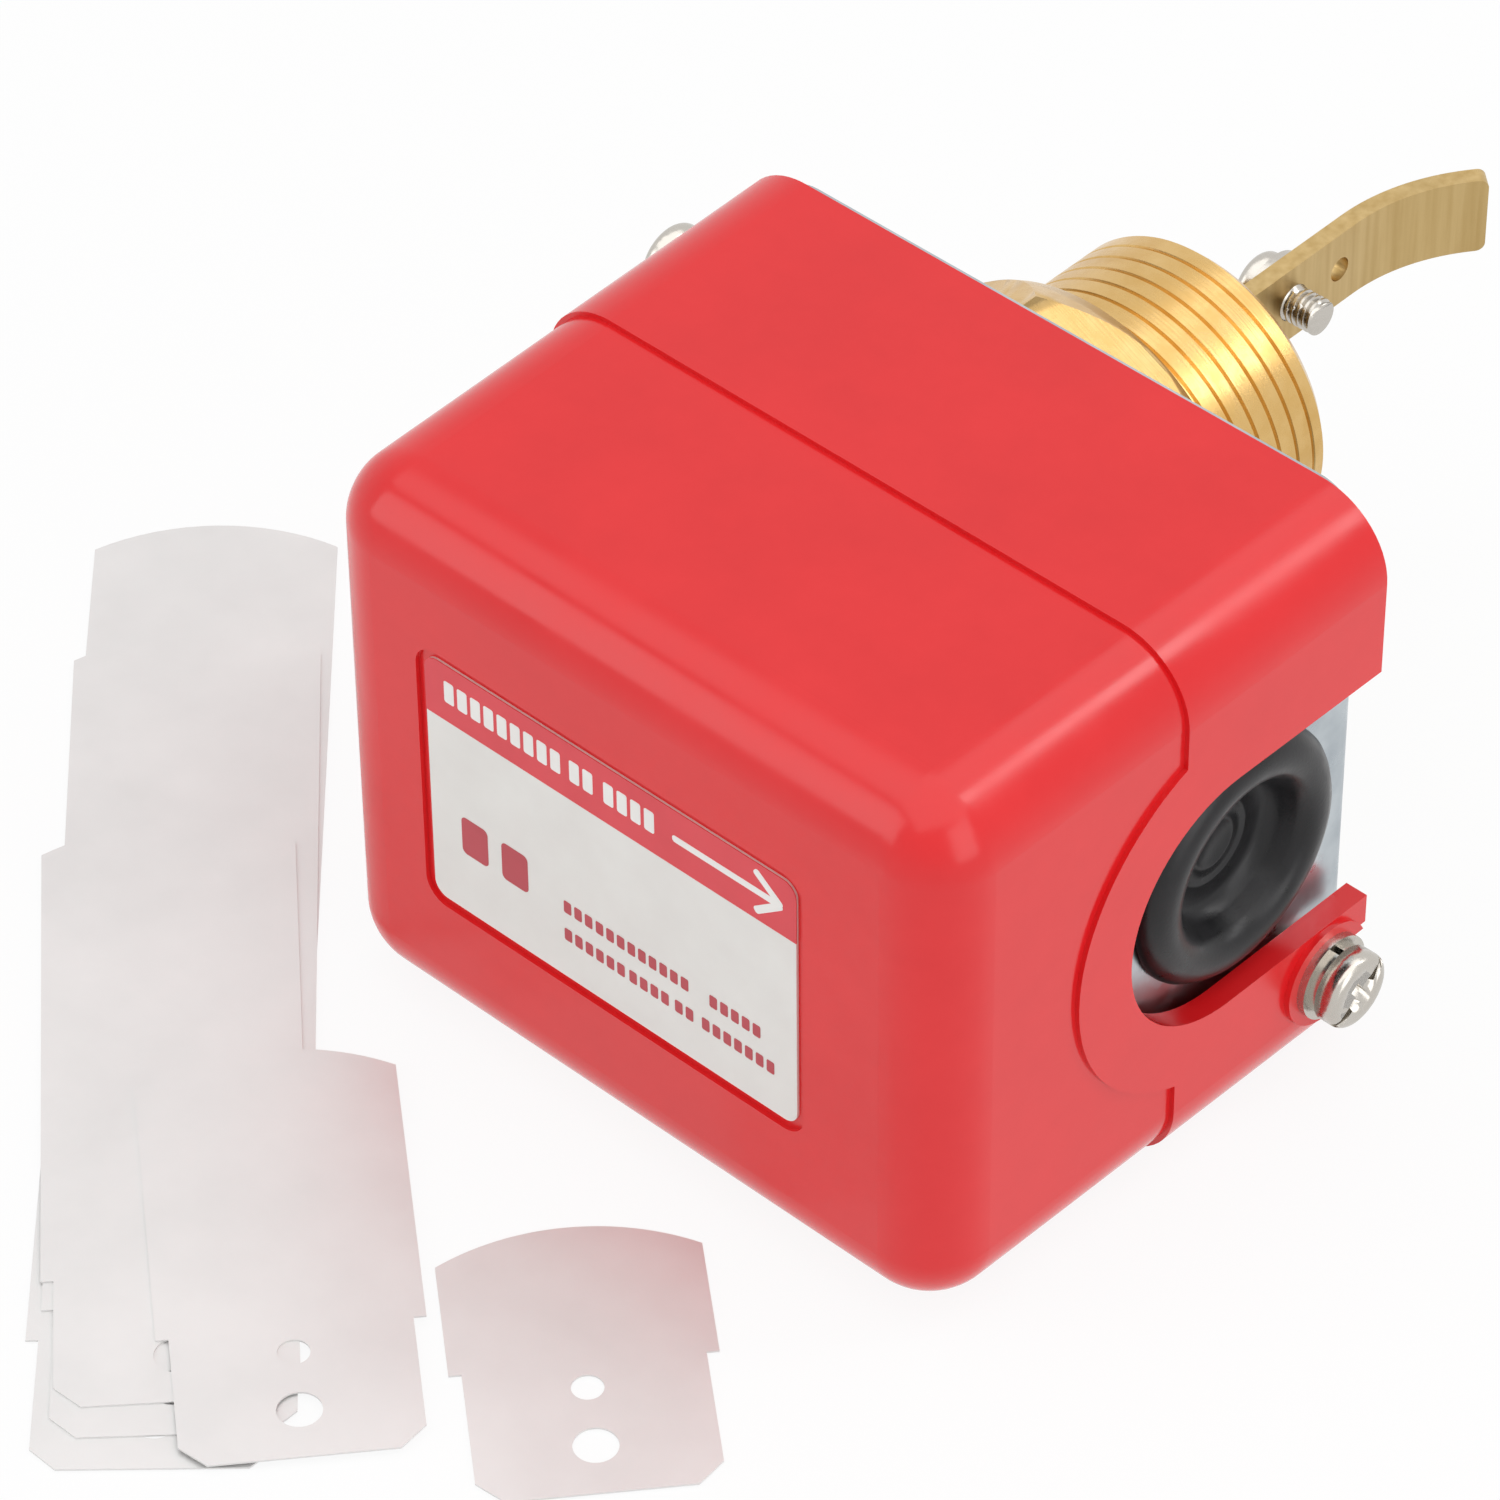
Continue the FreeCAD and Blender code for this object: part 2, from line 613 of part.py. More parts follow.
def arm_sector(name, radius):
    """A sector about the bend's centre, from the end of the straight run round to the arm's end."""
    sector = doc.addObject("Part::Cylinder", name)
    tie(sector, Radius=radius, Height="arm_height", Angle="arm_bend_angle")
    place(sector, "arm_face + arm_bend_radius", "arm_straight_end", "-arm_height / 2")
    sector.setExpression(".Placement.Rotation.Angle", formula("180 - arm_bend_angle"))
    return sector


arm_bend = cut("arm_bend", arm_sector("bend_outside", "arm_bend_radius + arm_thickness"),
               arm_sector("bend_inside", "arm_bend_radius"))
arm_solid = fuse("arm_solid", arm_run, arm_bend)
doc.recompute()
TIP_Y = arm_solid.Shape.BoundBox.YMax - size("arm_thickness") - size("arm_corner")


def at_arm_tip(edge):
    """True for the four short corner edges at the arm's free end."""
    ends = [vertex.Point for vertex in edge.Vertexes]
    level = abs(abs(ends[0].z) - size("arm_height") / 2) < 0.01 and abs(ends[0].z - ends[-1].z) < 0.01
    return level and edge.Length < size("arm_thickness") + 0.01 and min(end.y for end in ends) > TIP_Y


arm_blank = rounded("arm_blank", arm_solid, size("arm_corner"), at_arm_tip)
screw_tap = rod("screw_tap", "x", "screw_diameter + 2 * turn_gap", "arm_thickness + 2", ARM_X + " - 1",
                "arm_screw_reach")
peg_hole = rod("peg_hole", "x", "arm_hole_diameter", "arm_thickness + 2", ARM_X + " - 1",
               "arm_screw_reach + arm_hole_pitch")
paddle_arm = cut("paddle_arm", arm_blank, screw_tap, peg_hole, *rivet_holes("arm"))


rivets = []
for step, y in enumerate(RIVET_Y, start=1):
    shank = rod("rivet_shank_%d" % step, "x", "rivet_diameter", THROUGH, ARM_X, y)
    for end, x in (("head", ARM_X + " - rivet_head_height"), ("tail", "arm_face + bar_thickness")):
        shank = fuse("rivet_%s_%d" % (end, step), shank,
                     rod("rivet_%s_disc_%d" % (end, step), "x", "rivet_head_diameter", "rivet_head_height", x, y))
    rivets.append(shank)
arm_rivets = group("arm_rivets", rivets)


# ---------------------------------------------------------------- bellows round the lever
SEAT_Y = "(thread_length / 2 - mouth_depth)"
BELLOWS_START = "(%s + bellows_gap)" % SEAT_Y
half_folds = 2 * int(size("bellows_folds"))
outside = []
inside = []
for step in range(half_folds + 1):
    y = "%s + bellows_length * %d / %d" % (BELLOWS_START, step, half_folds)
    radius = "bellows_diameter / 2" if step % 2 == 0 else "bellows_root / 2"
    outside.append((y, radius))
    inside.append((y, radius + " - bellows_wall"))
CAP_Y = outside[-1][0]
bellows_blank = turned("bellows_blank", outside + [
    (CAP_Y + " + bellows_cap", "bellows_diameter / 2"),
    (CAP_Y + " + bellows_cap", "0"),
    (CAP_Y, "0"),
] + inside[::-1])
bar_passage = box("bar_passage", (BAR_X, "bar_thickness"), (CAP_Y + " - 1", "bellows_cap + 2"),
                  ("-bar_height / 2", "bar_height"))
bellows = cut("bellows", bellows_blank, bar_passage)


# ---------------------------------------------------------------- screws, washers and nuts
def pan_screw(name, axis, sense, head, head_height, shank, reach, x, y, z, edge="Chamfer"):
    """A pan-head screw whose head rests at a point; its shank runs by sense along an axis from there."""
    along = {"x": 0, "y": 1, "z": 2}[axis]
    point = [x, y, z]
    head_start = list(point)
    shank_start = list(point)
    if sense > 0:
        head_start[along] = "%s - (%s)" % (point[along], head_height)
    else:
        shank_start[along] = "%s - (%s)" % (point[along], reach)
    disc = rod(name + "_disc", axis, head, head_height, *head_start)
    doc.recompute()
    centre = disc.Shape.BoundBox.Center
    outer = centre[along] - sense * number(head_height) / 2
    domed = rounded(name + "_head", disc, number("(%s) * screw_head_round / screw_head_height" % head_height),
                    lambda rim: all(abs(vertex.Point[along] - outer) < 0.01 for vertex in rim.Vertexes), edge)
    return fuse(name, domed, rod(name + "_shank", axis, shank, reach, *shank_start))


def washer(name, axis, outside, inside, thickness, x, y, z):
    return cut(name, rod(name + "_disc", axis, outside, thickness, x, y, z),
               rod(name + "_hole", axis, inside, "(%s) + 2" % thickness,
                   *["%s - 1" % place if letter == axis else place for letter, place in zip("xyz", (x, y, z))]))


STACK = "(flat_washer_thickness + spring_washer_thickness)"
NUT_END = "(plate_length / 2 - plate_thickness - screw_nut_height)"
cover_screws = {}
for side, sense, z in (("right", -1, "-cover_screw_offset"), ("left", 1, "cover_screw_offset")):
    sign = "+" if sense < 0 else "-"
    boss_face = "(cover_length / 2 + boss_proud)"
    seat = "cover_shift %s (%s + %s)" % (sign, boss_face, STACK)
    cover_screws[side] = pan_screw("cover_screw_" + side, "x", sense, "screw_head_diameter",
                                   "screw_head_height", "screw_diameter",
                                   "%s + %s - %s + screw_tip" % (boss_face, STACK, NUT_END), seat, SCREW_Y, z, "Fillet")
    near = boss_face if sense < 0 else boss_face + " + flat_washer_thickness"
    flat = washer("flat_washer_" + side, "x", "flat_washer_diameter", "screw_diameter + 2 * turn_gap",
                  "flat_washer_thickness", "cover_shift %s %s" % (sign, near) if sense < 0 else
                  "cover_shift - (%s)" % near, SCREW_Y, z)
    near = boss_face + " + flat_washer_thickness" if sense < 0 else boss_face + " + " + STACK
    full = washer("spring_ring_" + side, "x", "spring_washer_diameter", "screw_diameter + 2 * turn_gap",
                  "spring_washer_thickness", "cover_shift %s (%s)" % (sign, near), SCREW_Y, z)
    split = box("split_" + side, ("cover_shift %s (%s) - 1" % (sign, near), "spring_washer_thickness + 2"),
                (SCREW_Y + " - spring_washer_split / 2", "spring_washer_split"), (z, "spring_washer_diameter"))
    cover_screws["flat_" + side] = flat
    cover_screws["spring_" + side] = cut("spring_washer_" + side, full, split)
    x = "cover_shift %s %s" % (sign, NUT_END if sense < 0 else "(%s + screw_nut_height)" % NUT_END)
    cover_screws["nut_" + side] = cut("cover_nut_" + side,
                                      hexagon("nut_bar_" + side, "x", "screw_nut_flats", "screw_nut_height",
                                              x, SCREW_Y, z),
                                      rod("nut_bore_" + side, "x", "screw_diameter + 2 * turn_gap",
                                          "screw_nut_height + 2", x + " - 1", SCREW_Y, z))

clamp_part = pan_screw("clamp_part", "x", 1, "screw_head_diameter * 0.9", "screw_head_height",
                       "screw_diameter", "flat_washer_thickness + arm_thickness",
                       ARM_X + " - flat_washer_thickness", "arm_screw_reach", "0", "Fillet")
clamp_end = rod("clamp_end", "x", "arm_screw_crest", "arm_screw_end", "arm_face", "arm_screw_reach")
paddle_screw = fuse("paddle_screw", clamp_part, clamp_end)
paddle_screw_washer = washer("paddle_screw_washer", "x", "flat_washer_diameter", "screw_diameter + 2 * turn_gap",
                       "flat_washer_thickness", ARM_X + " - flat_washer_thickness", "arm_screw_reach", "0")


# ---------------------------------------------------------------- range screw, nut and spring
range_screw = pan_screw("range_screw", "y", 1, "range_head_diameter", "range_head_height",
                        "range_screw_diameter", "%s + ear_seat + plate_thickness / 2" % PLATE_FRONT, HOLE_X, EAR_Y, "0")
NUT_Y = "(%s - range_nut_lift - range_nut_height)" % PLATE_FRONT
range_nut = cut("range_nut",
                hexagon("range_nut_bar", "y", "range_nut_flats", "range_nut_height", HOLE_X, NUT_Y, "0"),
                rod("range_nut_bore", "y", "range_screw_diameter + 2 * turn_gap", "range_nut_height + 2",
                    HOLE_X, NUT_Y + " - 1", "0"))
coil = doc.addObject("Part::Helix", "coil")
SPRING_START = "(%s + ear_thickness + spring_wire / 2)" % EAR_Y
SPRING_RUN = "(%s - spring_wire / 2 - %s)" % (NUT_Y, SPRING_START)
tie(coil, Radius="(spring_diameter - spring_wire) / 2", Height=SPRING_RUN,
    Pitch="%s / spring_turns" % SPRING_RUN)
wire = doc.addObject("Part::RegularPolygon", "wire")
wire.Polygon = 4
tie(wire, Circumradius="spring_wire / 2")
place(wire, "(spring_diameter - spring_wire) / 2")
wire.Placement = Placement(wire.Placement.Base, Rotation(Vector(1, 0, 0), 90))
range_spring = doc.addObject("Part::Sweep", "range_spring")
range_spring.Sections = [wire]
range_spring.Spine = (coil, [])
range_spring.Solid = True
range_spring.Frenet = True
range_spring.Placement = Placement(Vector(), ALONG["y"])
place(range_spring, HOLE_X, SPRING_START, "0")


# ---------------------------------------------------------------- snap switch and its bracket
SWITCH_Y = "(-switch_front)"
SWITCH_MIDDLE = "(-switch_front + switch_length / 2)"
PLUNGER_Y = "(-switch_front + switch_length * 0.6)"
case_block = box("case_block", ("switch_start", "switch_depth"), (SWITCH_Y, "switch_length"),
                 ("-switch_height / 2", "switch_height"))
case_round = rounded("case_round", case_block, size("switch_round"), lambda edge: runs_along(edge, Z_AXIS))
plunger_hole = rod("plunger_hole", "x", "plunger_diameter + 2 * turn_gap", "plunger_seat + 2",
                   "switch_start - 1", PLUNGER_Y)
SWITCH_SCREW_Y = [SWITCH_MIDDLE + " - switch_hole_pitch / 2", SWITCH_MIDDLE + " + switch_hole_pitch / 2"]


def switch_holes(name, low, run):
    return [rod("%s_hole_%d" % (name, step), "z", "switch_screw_diameter", run, "switch_screw_shift", y, low)
            for step, y in enumerate(SWITCH_SCREW_Y, start=1)]


switch_case = cut("switch_case", case_round, plunger_hole,
                  *switch_holes("case", "-switch_height / 2 - 1", "switch_height + 2"))

PLUNGER_TIP = "(switch_start - plunger_reach)"
switch_plunger = turned("switch_plunger", [
    ("0", "0"),
    ("0", "plunger_diameter / 4"),
    ("plunger_diameter / 6", "plunger_diameter / 2"),
    ("plunger_reach + plunger_seat - plunger_gap", "plunger_diameter / 2"),
    ("plunger_reach + plunger_seat - plunger_gap", "0"),
], PLUNGER_TIP, PLUNGER_Y, "0", along_x=True)

BRACKET_Z = "(-switch_height / 2 - bracket_thickness)"
bracket_arm = box("bracket_arm", ("bracket_start", "bracket_width"), ("-bracket_end", "bracket_end + " + PLATE_FRONT),
                  (BRACKET_Z, "bracket_thickness"))
bracket_foot = box("bracket_foot", ("bracket_start", "bracket_width"),
                   (PLATE_FRONT + " - bracket_thickness", "bracket_thickness"),
                   (BRACKET_Z + " - bracket_foot + bracket_thickness", "bracket_foot"))
foot_hole = rod("foot_hole", "y", "foot_screw_diameter + 2 * turn_gap", "bracket_thickness + 2",
                "foot_screw_shift", PLATE_FRONT + " - bracket_thickness - 1", "-foot_screw_drop")
switch_bracket = cut("switch_bracket", fuse("bracket_bent", bracket_arm, bracket_foot), foot_hole,
                     *switch_holes("bracket", BRACKET_Z + " - 1", "bracket_thickness + 2"))


switch_screws = group("switch_screws", [
    pan_screw("switch_screw_%d" % step, "z", -1, "switch_screw_head", "switch_screw_head_height",
              "switch_screw_diameter", "switch_height + bracket_thickness", "switch_screw_shift", y,
              "switch_height / 2") for step, y in enumerate(SWITCH_SCREW_Y, start=1)])

TERMINAL_X = "(switch_start + switch_depth)"
terminals = []
terminal_heads = []
for step in (-1, 0, 1):
    y = "%s + terminal_pitch * %d" % (SWITCH_MIDDLE, step)
    name = "terminal_%d" % (step + 2)
    terminals.append(box(name, (TERMINAL_X, "terminal_length"), (y + " - terminal_width / 2", "terminal_width"),
                         ("0", "terminal_thickness")))
    terminal_heads.append(rod(name + "_head", "z", "terminal_screw_head", "terminal_screw_height",
                              TERMINAL_X + " + terminal_length / 2", y, "terminal_thickness"))
switch_terminals = group("switch_terminals", terminals)
terminal_screws = group("terminal_screws", terminal_heads)

foot_screw = pan_screw("foot_screw", "y", 1, "foot_screw_head", "foot_screw_height", "foot_screw_diameter",
                       "bracket_thickness + plate_thickness", "foot_screw_shift",
                       PLATE_FRONT + " - bracket_thickness", "-foot_screw_drop")
earth_screw = pan_screw("earth_screw", "y", 1, "foot_screw_head", "foot_screw_height", "foot_screw_diameter",
                        "plate_thickness", "earth_screw_shift", PLATE_FRONT, "earth_screw_rise")


# ---------------------------------------------------------------- loose paddles, fanned on the floor
FLOOR = "(-cover_height / 2)"


def paddle(number, word, level):
    """A strip with a crowned end, a narrower holed end and cut corners, its holed end's middle at a point."""
    name = "paddle_%d" % number
    length = "paddle_%s_length" % word
    body = new_body(name + "_strip")
    sketch = sketch_on(body, "XY_Plane")
    half = "paddle_width / 2"
    tab_half = "paddle_tab_width / 2"
    side = [(tab_half + " - paddle_chamfer", "0"), (tab_half, "paddle_chamfer"), (tab_half, "paddle_tab_length"),
            (half, "paddle_tab_length"), (half, length)]
    outline(sketch, side + [("-(%s)" % u, v) for u, v in side[::-1]])
    ring(sketch, "paddle_screw_hole", "0", "paddle_hole_setback")
    ring(sketch, "paddle_peg_hole", "0", "paddle_hole_setback + arm_hole_pitch")
    pad = body.newObject("PartDesign::Pad", name + "_pad")
    pad.Profile = sketch
    tie(pad, Length="paddle_thickness")
    body.Tip = pad
    crown_radius = "((paddle_width ^ 2 / 4 + paddle_crown ^ 2) / (2 * paddle_crown))"
    crown = rod(name + "_crown", "z", "2 * " + crown_radius, "paddle_thickness + 2", "0",
                "%s - %s" % (length, crown_radius), "-1")
    lower = box(name + "_lower", ("-paddle_width", "2 * paddle_width"), ("-1", length + " - paddle_crown"),
                ("-1", "paddle_thickness + 2"))
    strip = common(name, body, fuse(name + "_reach", crown, lower))
    strip.setExpression(".Placement.Rotation.Angle", formula("paddle_%s_turn" % word))
    return place(strip, "paddle_%s_x" % word, "paddle_%s_y" % word, "%s + paddle_thickness * %d" % (FLOOR, level))


LEVELS = {"one": 0, "two": 1, "three": 2, "four": 3, "five": 0}
paddles = [paddle(number, word, level) for number, (word, level) in enumerate(LEVELS.items(), start=1)]


# ---------------------------------------------------------------- checks and files
pieces = [cover, label, chassis, cable_grommet, thread_body, body_nut, pivot_bush, pivot_pin, lever_bar,
          lever_ear, paddle_arm, arm_rivets, bellows, paddle_screw, paddle_screw_washer, range_screw, range_nut,
          range_spring, switch_case, switch_plunger, switch_bracket, switch_screws, switch_terminals,
          terminal_screws, foot_screw, earth_screw] + list(cover_screws.values()) + paddles
doc.recompute()
for item in doc.Objects:
    if "Invalid" in item.State or "Error" in item.State:
        raise RuntimeError("%s could not be made: %s" % (item.Name, item.State))
for piece in pieces:
    if piece.Shape.isNull() or not piece.Shape.isValid():
        raise RuntimeError("%s has no valid shape" % piece.Name)
os.makedirs("parts", exist_ok=True)
for piece in pieces:
    piece.Label = piece.Name
    piece.Shape.exportStep(os.path.join("parts", piece.Name + ".step"))
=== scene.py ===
import bpy
from math import cos, pi, radians, sin
from mathutils import Matrix, Vector


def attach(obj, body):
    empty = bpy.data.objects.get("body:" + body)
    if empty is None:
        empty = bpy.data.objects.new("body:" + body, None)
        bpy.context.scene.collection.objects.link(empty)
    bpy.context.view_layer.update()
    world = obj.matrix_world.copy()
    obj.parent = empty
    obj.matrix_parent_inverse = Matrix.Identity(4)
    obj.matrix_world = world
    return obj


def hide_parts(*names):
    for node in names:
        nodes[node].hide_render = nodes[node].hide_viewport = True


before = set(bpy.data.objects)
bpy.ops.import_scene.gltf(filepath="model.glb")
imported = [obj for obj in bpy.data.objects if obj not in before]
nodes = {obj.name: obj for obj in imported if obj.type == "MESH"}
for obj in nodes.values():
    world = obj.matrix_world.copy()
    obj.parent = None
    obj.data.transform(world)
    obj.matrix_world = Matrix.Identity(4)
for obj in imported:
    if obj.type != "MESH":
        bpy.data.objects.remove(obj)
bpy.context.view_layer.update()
print("frame loaded:", len(nodes), "nodes")

mm = 0.001  # metres in a millimetre


# colours and materials
def colourOf(hexValue):
    parts = [int(hexValue[i:i + 2], 16) / 255 for i in (0, 2, 4)]  # sRGB to linear
    return [p / 12.92 if p <= 0.04045 else ((p + 0.055) / 1.055) ** 2.4 for p in parts] + [1.0]


def addNode(material, kind, settings=None, links=None):
    # settings with a small first letter belong to the node, the others are its sockets
    tree = material.node_tree
    node = tree.nodes.new("ShaderNode" + kind)
    for key, value in (settings or {}).items():
        if isinstance(key, str) and not key[0].isupper():
            setattr(node, key, value)
        elif key == "Ramp":
            for element, (position, colour) in zip(node.color_ramp.elements, value):
                element.position, element.color = position, colourOf(colour)
        else:
            node.inputs[key].default_value = value
    for key, source in (links or {}).items():
        tree.links.new(source if hasattr(source, "is_output") else source.outputs[0], node.inputs[key])
    return node


def shader(material):
    return material.node_tree.nodes["Principled BSDF"]


def startMaterial(name, colour, roughness, metallic=0.0, **sockets):
    material = bpy.data.materials.new(name)
    material.use_nodes = True
    base = shader(material)
    base.inputs["Base Color"].default_value = colourOf(colour)
    base.inputs["Roughness"].default_value = roughness
    base.inputs["Metallic"].default_value = metallic
    for key, value in sockets.items():
        base.inputs[key.replace("_", " ")].default_value = value
    return material


def feed(material, **sources):
    for key, source in sources.items():
        material.node_tree.links.new(source.outputs[0], shader(material).inputs[key.replace("_", " ")])


def glossRed():
    # injection-moulded ABS: clean gloss, faint flow waviness, a few rubbed patches
    look = {"name": "mouldedRedAbs", "colour": "DF1A1E", "wave": 14 * mm, "waveDepth": 0.03 * mm, "rub": 16 * mm}
    m = startMaterial(look["name"], look["colour"], 0.2, IOR=1.5)
    place = addNode(m, "TexCoord").outputs["Object"]
    wave = addNode(m, "TexNoise", {"Scale": 1 / look["wave"], "Detail": 1.0}, {"Vector": place})
    rub = addNode(m, "TexNoise", {"Scale": 1 / look["rub"], "Detail": 5.0, "Roughness": 0.62}, {"Vector": place})
    feed(m, Normal=addNode(m, "Bump", {"Strength": 1.0, "Distance": look["waveDepth"]}, {"Height": wave}),
         Roughness=addNode(m, "MapRange", {"From Min": 0.35, "From Max": 0.65, "To Min": 0.15, "To Max": 0.27},
                           {"Value": rub}),
         Base_Color=addNode(m, "ValToRGB", {"Ramp": ((0.3, "DC181D"), (0.7, "E22125"))}, {"Fac": rub}))
    return m


def zincSheet():
    # bright zinc plate on rolled steel: cool grey with soft crystal patches
    look = {"name": "zincPlatedSheet", "colour": "B4BCC1", "cell": 2.2 * mm, "patch": 5 * mm}
    m = startMaterial(look["name"], look["colour"], 0.3, 1.0)
    place = addNode(m, "TexCoord").outputs["Object"]
    cells = addNode(m, "TexVoronoi", {"Scale": 1 / look["cell"]}, {"Vector": place})
    patch = addNode(m, "TexNoise", {"Scale": 1 / look["patch"], "Detail": 4.0}, {"Vector": place})
    feed(m, Base_Color=addNode(m, "ValToRGB", {"Ramp": ((0.3, "A9B1B7"), (0.7, "C3CACE"))}, {"Fac": patch}),
         Roughness=addNode(m, "MapRange", {"To Min": 0.24, "To Max": 0.42}, {"Value": cells.outputs["Color"]}),
         Normal=addNode(m, "Bump", {"Strength": 1.0, "Distance": 0.02 * mm}, {"Height": patch}))
    return m


def turnedBrass():
    # CZ121 brass off the lathe: warm and bright, with rings left by the tool and a little tarnish
    look = {"name": "turnedBrass", "colour": "D9B57A", "tarnish": 4 * mm, "ring": 0.22 * mm, "depth": 0.02 * mm}
    m = startMaterial(look["name"], look["colour"], 0.24, 1.0)
    place = addNode(m, "TexCoord").outputs["Object"]
    tarnish = addNode(m, "TexNoise", {"Scale": 1 / look["tarnish"], "Detail": 6.0, "Roughness": 0.65},
                      {"Vector": place})
    rings = addNode(m, "Mapping", {"Scale": (0.03, 1, 0.03)}, {"Vector": place})
    marks = addNode(m, "TexNoise", {"Scale": 1 / look["ring"], "Detail": 3.0}, {"Vector": rings})
    feed(m, Base_Color=addNode(m, "ValToRGB", {"Ramp": ((0.3, "CFA764"), (0.7, "DDB97C"))}, {"Fac": tarnish}),
         Roughness=addNode(m, "MapRange", {"From Min": 0.35, "From Max": 0.65, "To Min": 0.32, "To Max": 0.22},
                           {"Value": tarnish}),
         Normal=addNode(m, "Bump", {"Strength": 1.0, "Distance": look["depth"]}, {"Height": marks}))
    return m


def rolledBrass():
    # brass strip: duller than turned brass, with shear and polishing streaks across it
    look = {"name": "rolledBrassStrip", "colour": "BFA273", "wear": 9 * mm, "line": 1.1 * mm, "depth": 0.02 * mm}
    m = startMaterial(look["name"], look["colour"], 0.36, 1.0)
    place = addNode(m, "TexCoord").outputs["Object"]
    wear = addNode(m, "TexNoise", {"Scale": 1 / look["wear"], "Detail": 6.0, "Roughness": 0.65}, {"Vector": place})
    along = addNode(m, "Mapping", {"Scale": (1, 1, 0.05)}, {"Vector": place})
    lines = addNode(m, "TexNoise", {"Scale": 1 / look["line"], "Detail": 4.0}, {"Vector": along})
    feed(m, Base_Color=addNode(m, "ValToRGB", {"Ramp": ((0.3, "B99C66"), (0.72, "CCB17D"))}, {"Fac": lines}),
         Roughness=addNode(m, "MapRange", {"From Min": 0.35, "From Max": 0.65, "To Min": 0.46, "To Max": 0.3},
                           {"Value": wear}),
         Normal=addNode(m, "Bump", {"Strength": 1.0, "Distance": look["depth"]}, {"Height": lines}))
    return m


def plated(name, colour, roughness):
    # nickel-plated or bare steel: small pits and handling marks
    grain = 0.5 * mm
    m = startMaterial(name, colour, roughness, 1.0)
    place = addNode(m, "TexCoord").outputs["Object"]
    pits = addNode(m, "TexNoise", {"Scale": 1 / grain, "Detail": 4.0, "Roughness": 0.6}, {"Vector": place})
    feed(m, Roughness=addNode(m, "MapRange", {"From Min": 0.35, "From Max": 0.65, "To Min": roughness * 0.75,
                                              "To Max": roughness * 1.35}, {"Value": pits}),
         Normal=addNode(m, "Bump", {"Strength": 1.0, "Distance": 0.012 * mm}, {"Height": pits}))
    return m


def rolledSteel():
    # cold-rolled stainless sheet: fine rolling lines and faint smears
    look = {"name": "rolledStainless", "colour": "E1E0DF", "smear": 12 * mm, "line": 1.6 * mm}
    m = startMaterial(look["name"], look["colour"], 0.46, 0.35)
    place = addNode(m, "TexCoord").outputs["Object"]
    smear = addNode(m, "TexNoise", {"Scale": 1 / look["smear"], "Detail": 5.0, "Roughness": 0.6}, {"Vector": place})
    along = addNode(m, "Mapping", {"Scale": (1, 1, 0.2)}, {"Vector": place})
    lines = addNode(m, "TexNoise", {"Scale": 1 / look["line"], "Detail": 5.0}, {"Vector": along})
    feed(m, Base_Color=addNode(m, "ValToRGB", {"Ramp": ((0.3, "DEDDDC"), (0.7, "E4E3E2"))}, {"Fac": smear}),
         Roughness=addNode(m, "MapRange", {"From Min": 0.35, "From Max": 0.65, "To Min": 0.42, "To Max": 0.52},
                           {"Value": smear}),
         Normal=addNode(m, "Bump", {"Strength": 1.0, "Distance": 0.006 * mm}, {"Height": lines}))
    return m


def softRubber():
    # moulded nitrile rubber: matt with a fine grain and a dusty sheen
    look = {"name": "nitrileRubber", "colour": "19181A", "dust": 3 * mm, "grain": 0.35 * mm}
    m = startMaterial(look["name"], look["colour"], 0.34, Specular_IOR_Level=0.38, Sheen_Weight=0.04,
                      Sheen_Roughness=0.5)
    place = addNode(m, "TexCoord").outputs["Object"]
    dust = addNode(m, "TexNoise", {"Scale": 1 / look["dust"], "Detail": 5.0, "Roughness": 0.6}, {"Vector": place})
    grain = addNode(m, "TexNoise", {"Scale": 1 / look["grain"], "Detail": 2.0}, {"Vector": place})
    feed(m, Base_Color=addNode(m, "ValToRGB", {"Ramp": ((0.3, "0D0D0F"), (0.7, "19181B"))}, {"Fac": dust}),
         Roughness=addNode(m, "MapRange", {"From Min": 0.35, "From Max": 0.65, "To Min": 0.27, "To Max": 0.4},
                           {"Value": dust}),
         Normal=addNode(m, "Bump", {"Strength": 1.0, "Distance": 0.012 * mm}, {"Height": grain}))
    return m


def mouldedBlack():
    # phenolic switch case: fine spark-eroded texture
    grainSize = 0.4 * mm
    m = startMaterial("phenolicCase", "1E1E20", 0.45)
    place = addNode(m, "TexCoord").outputs["Object"]
    grain = addNode(m, "TexNoise", {"Scale": 1 / grainSize, "Detail": 3.0}, {"Vector": place})
    feed(m, Normal=addNode(m, "Bump", {"Strength": 1.0, "Distance": 0.03 * mm}, {"Height": grain}),
         Roughness=addNode(m, "MapRange", {"From Min": 0.35, "From Max": 0.65, "To Min": 0.38, "To Max": 0.55},
                           {"Value": grain}))
    return m


def film(name, colour, second):
    # printed polyester film or moulded acetal: satin, very even
    cloudSize = 6 * mm
    m = startMaterial(name, colour, 0.4)
    place = addNode(m, "TexCoord").outputs["Object"]
    cloud = addNode(m, "TexNoise", {"Scale": 1 / cloudSize, "Detail": 4.0}, {"Vector": place})
    feed(m, Base_Color=addNode(m, "ValToRGB", {"Ramp": ((0.3, second), (0.7, colour))}, {"Fac": cloud}),
         Normal=addNode(m, "Bump", {"Strength": 1.0, "Distance": 0.01 * mm}, {"Height": cloud}))
    return m


